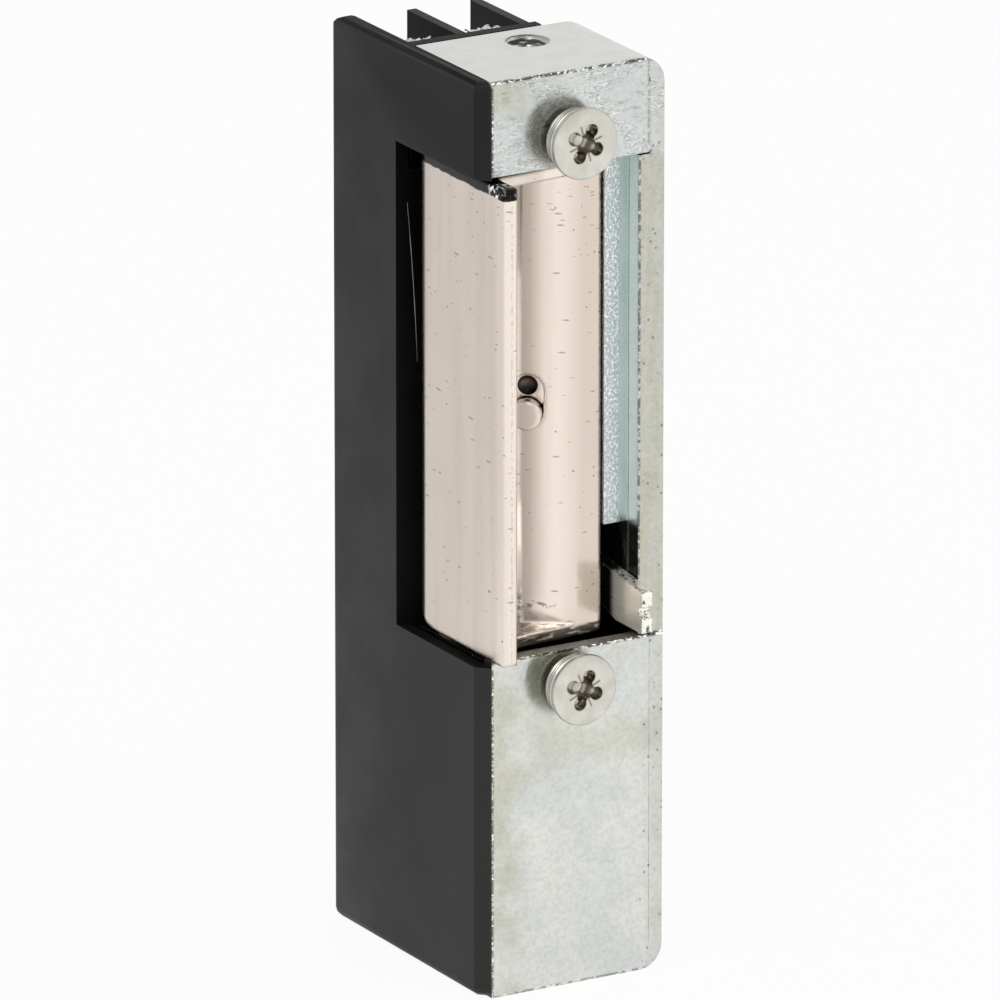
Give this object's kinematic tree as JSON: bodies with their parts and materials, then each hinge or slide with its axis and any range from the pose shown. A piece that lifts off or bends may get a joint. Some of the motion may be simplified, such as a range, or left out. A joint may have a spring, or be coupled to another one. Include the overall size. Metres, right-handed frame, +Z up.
{
  "type": "electric door strike",
  "caption": "Slim electric door strike: folded steel frame, black housing, sprung swinging keeper with latch pocket, locking lever, coil and a small release lever.",
  "frame": {"origin": "under the middle of the part's box, on the underside", "axes": "+Z up along the body, -Y out of the front that faces the door, +X across the body away from the moulded housing"},
  "size_m": [0.0206, 0.0326, 0.093],
  "materials": {
    "zinc_plate": "bright zinc plate on folded sheet",
    "black_housing": "fine-grained moulding",
    "nickel_keeper": "polished nickel with casting pores",
    "bright_steel": "plain bright steel",
    "zinc_casting": "as cast",
    "copper_winding": "enamelled wire",
    "nylon_bobbin": "natural nylon",
    "terminal_brass": "plain",
    "wire_insulation": "soft insulation"
  },
  "bodies": {
    "body": {"armature_spring": "bright_steel", "bearing_plate": "zinc_plate", "coil_bobbin": "nylon_bobbin", "coil_core": "bright_steel", "coil_winding": "copper_winding", "housing": "black_housing", "housing_screw_lower": "zinc_plate", "housing_screw_upper": "zinc_plate", "keeper_pin": "bright_steel", "keeper_spring": "bright_steel", "lead_wire_left": "wire_insulation", "lead_wire_right": "wire_insulation", "locking_lever_pin": "bright_steel", "locking_lever_spring": "bright_steel", "lower_bearing_block": "zinc_casting", "mounting_screw_lower": "zinc_plate", "mounting_screw_upper": "zinc_plate", "plate_rivet_lower": "bright_steel", "plate_rivet_upper": "bright_steel", "release_lever_pin": "bright_steel", "steel_frame": "zinc_plate", "terminal_clamp_left": "terminal_brass", "terminal_clamp_right": "terminal_brass", "terminal_screw_left": "zinc_plate", "terminal_screw_right": "zinc_plate", "upper_bearing_block": "zinc_casting", "yoke": "bright_steel"},
    "keeper": {"keeper": "nickel_keeper", "hold_open_spring": "bright_steel"},
    "hold_open_pin": {"hold_open_pin": "nickel_keeper"},
    "locking_lever": {"locking_lever": "bright_steel"},
    "armature": {"armature": "bright_steel"},
    "release_lever": {"release_lever": "bright_steel"}
  },
  "joints": [
    {"name": "keeper_swing", "type": "hinge", "parent": "body", "child": "keeper", "pos_m": [-0.00605, -0.00095, 0.05895], "axis": [0, 0, -1], "range_deg": [0, 60], "stiffness_Nm_per_rad": 0.05, "springref_deg": -11.46, "deforming": ["keeper_spring"]},
    {"name": "locking_lever_tilt", "type": "hinge", "parent": "body", "child": "locking_lever", "pos_m": [0.00225, -0.00265, 0.04], "axis": [1, 0, 0], "range_deg": [0, 20], "deforming": ["locking_lever_spring"]},
    {"name": "armature_pull", "type": "hinge", "parent": "body", "child": "armature", "pos_m": [0.00075, 0.0126, 0.03062], "axis": [1, 0, 0], "range_deg": [0, 5], "deforming": ["armature_spring"]},
    {"name": "hold_open_pin_press", "type": "slide", "parent": "keeper", "child": "hold_open_pin", "axis": [0.599, 0.8007, 0], "range_m": [0, 0.0012], "stiffness_N_per_m": 50, "springref_m": -0.002, "deforming": ["hold_open_spring"]},
    {"name": "release_lever_lift", "type": "hinge", "parent": "body", "child": "release_lever", "pos_m": [0.0061, 0.00485, 0.04], "axis": [-1, 0, 0], "range_deg": [0, 14]}
  ],
  "couplings": [
    {"joint": "locking_lever_tilt", "follows": "keeper_swing", "ratio": 0.3333},
    {"joint": "armature_pull", "follows": "keeper_swing", "ratio": 0.0833}
  ]
}
